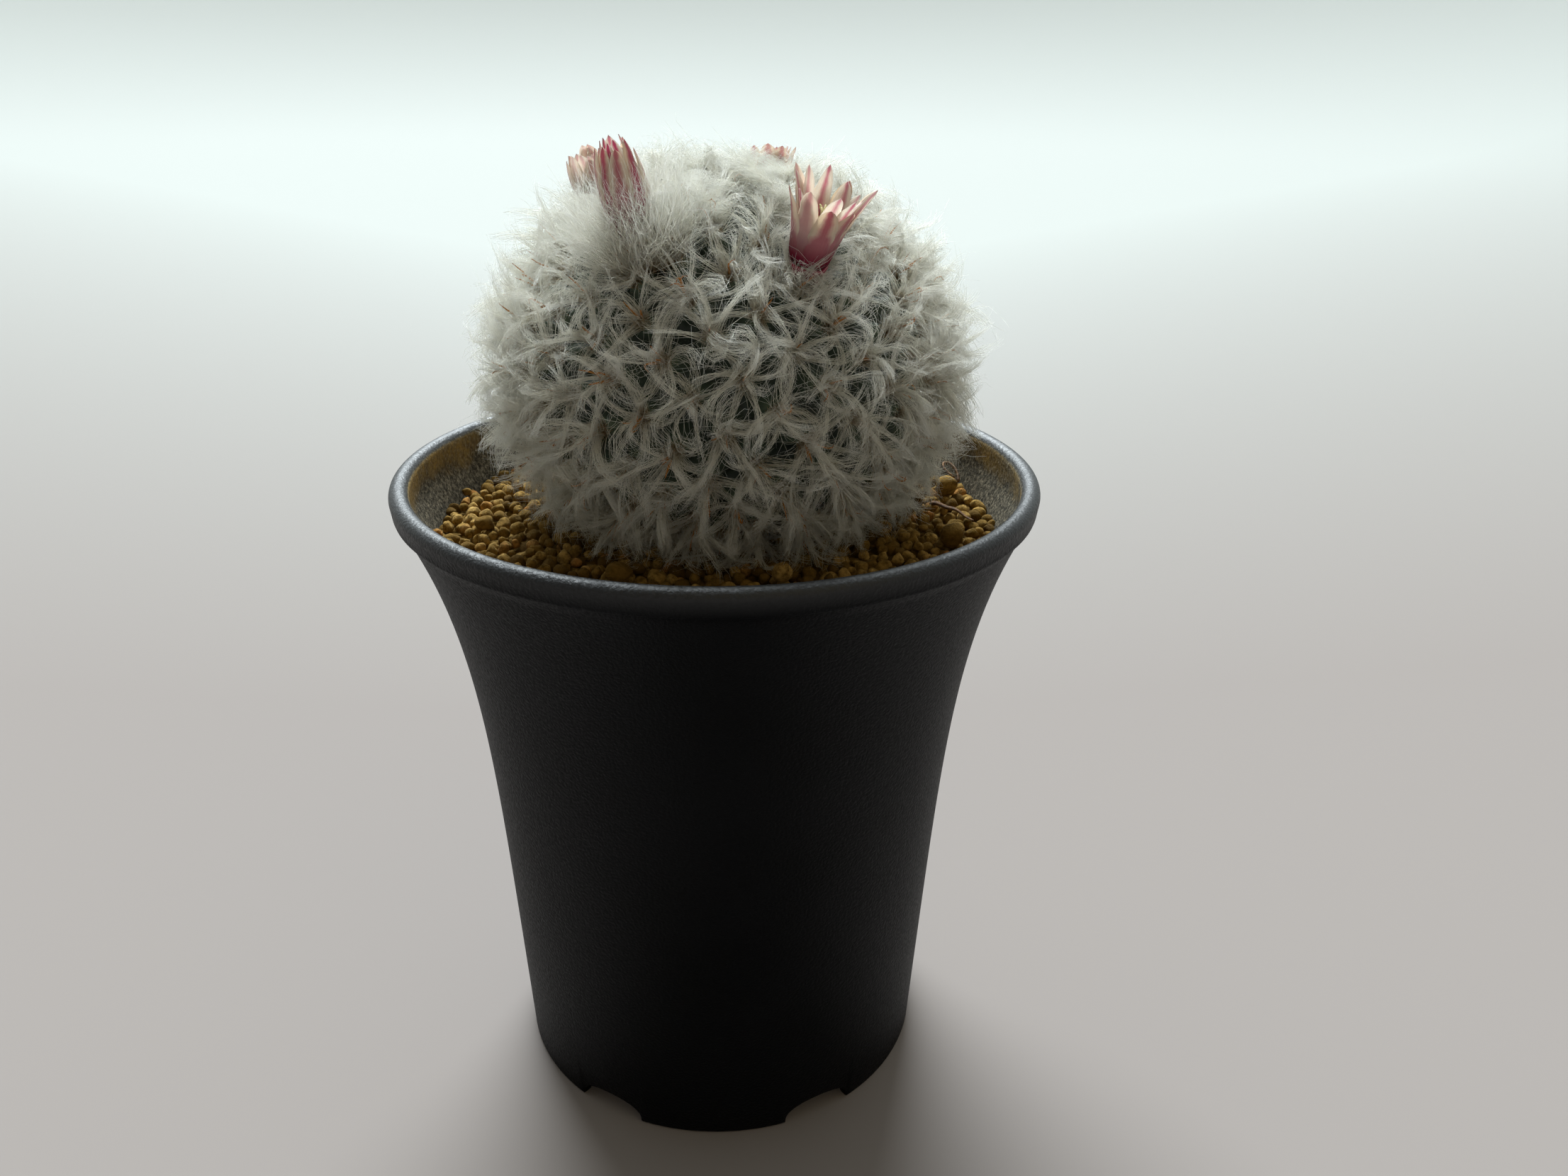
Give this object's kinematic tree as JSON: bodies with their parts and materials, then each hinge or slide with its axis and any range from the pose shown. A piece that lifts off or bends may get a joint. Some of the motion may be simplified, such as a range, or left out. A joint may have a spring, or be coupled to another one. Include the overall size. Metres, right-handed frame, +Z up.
{
  "type": "potted round cactus",
  "caption": "Round woolly globe cactus with silky white hair spines and small cream and crimson flowers, rooted in granular soil in a flared black plastic pot.",
  "frame": {"origin": "on the ground, under the centre of the pot's foot, which is also the centre of its round lip", "axes": "+Z up along the pot's axis; -Y towards the viewer, +X to the viewer's right"},
  "size_m": [0.09, 0.09, 0.1385],
  "materials": {
    "pot_plastic": "satin",
    "akadama": "matte",
    "dry_litter": "matte",
    "cactus_skin": "satin",
    "hair_spines": "silky",
    "areole_spines": "satin",
    "floral_tube": "matte",
    "outer_tepals": "matte",
    "inner_tepals": "matte",
    "stamens": "matte",
    "stigma": "matte"
  },
  "bodies": {
    "root": {"pot": "pot_plastic", "soil_bed": "akadama", "loose_granule_1": "akadama", "loose_granule_2": "akadama", "loose_granule_3": "akadama", "loose_granule_4": "akadama", "loose_granule_5": "akadama", "dry_sliver": "dry_litter", "root_fibre": "dry_litter", "cactus_body": "cactus_skin", "spine_coat": "hair_spines", "flower_left_front_tube": "floral_tube", "flower_left_front_tepal_1": "outer_tepals", "flower_left_front_tepal_2": "outer_tepals", "flower_left_front_tepal_3": "outer_tepals", "flower_left_front_tepal_4": "outer_tepals", "flower_left_front_tepal_5": "outer_tepals", "flower_left_front_tepal_6": "outer_tepals", "flower_left_front_tepal_7": "outer_tepals", "flower_left_front_tepal_8": "outer_tepals", "flower_left_front_corolla": "inner_tepals", "flower_left_front_stamens": "stamens", "flower_left_front_style": "stigma", "flower_left_rear_tube": "floral_tube", "flower_left_rear_tepal_1": "outer_tepals", "flower_left_rear_tepal_2": "outer_tepals", "flower_left_rear_tepal_3": "outer_tepals", "flower_left_rear_tepal_4": "outer_tepals", "flower_left_rear_tepal_5": "outer_tepals", "flower_left_rear_tepal_6": "outer_tepals", "flower_left_rear_tepal_7": "outer_tepals", "flower_left_rear_tepal_8": "outer_tepals", "flower_left_rear_corolla": "inner_tepals", "flower_left_rear_stamens": "stamens", "flower_left_rear_style": "stigma", "flower_rear_tube": "floral_tube", "flower_rear_tepal_1": "outer_tepals", "flower_rear_tepal_2": "outer_tepals", "flower_rear_tepal_3": "outer_tepals", "flower_rear_tepal_4": "outer_tepals", "flower_rear_tepal_5": "outer_tepals", "flower_rear_tepal_6": "outer_tepals", "flower_rear_tepal_7": "outer_tepals", "flower_rear_tepal_8": "outer_tepals", "flower_rear_corolla": "inner_tepals", "flower_rear_stamens": "stamens", "flower_rear_style": "stigma", "flower_right_front_tube": "floral_tube", "flower_right_front_tepal_1": "outer_tepals", "flower_right_front_tepal_2": "outer_tepals", "flower_right_front_tepal_3": "outer_tepals", "flower_right_front_tepal_4": "outer_tepals", "flower_right_front_tepal_5": "outer_tepals", "flower_right_front_tepal_6": "outer_tepals", "flower_right_front_tepal_7": "outer_tepals", "flower_right_front_tepal_8": "outer_tepals", "flower_right_front_corolla": "inner_tepals", "flower_right_front_stamens": "stamens", "flower_right_front_style": "stigma"}
  },
  "joints": []
}
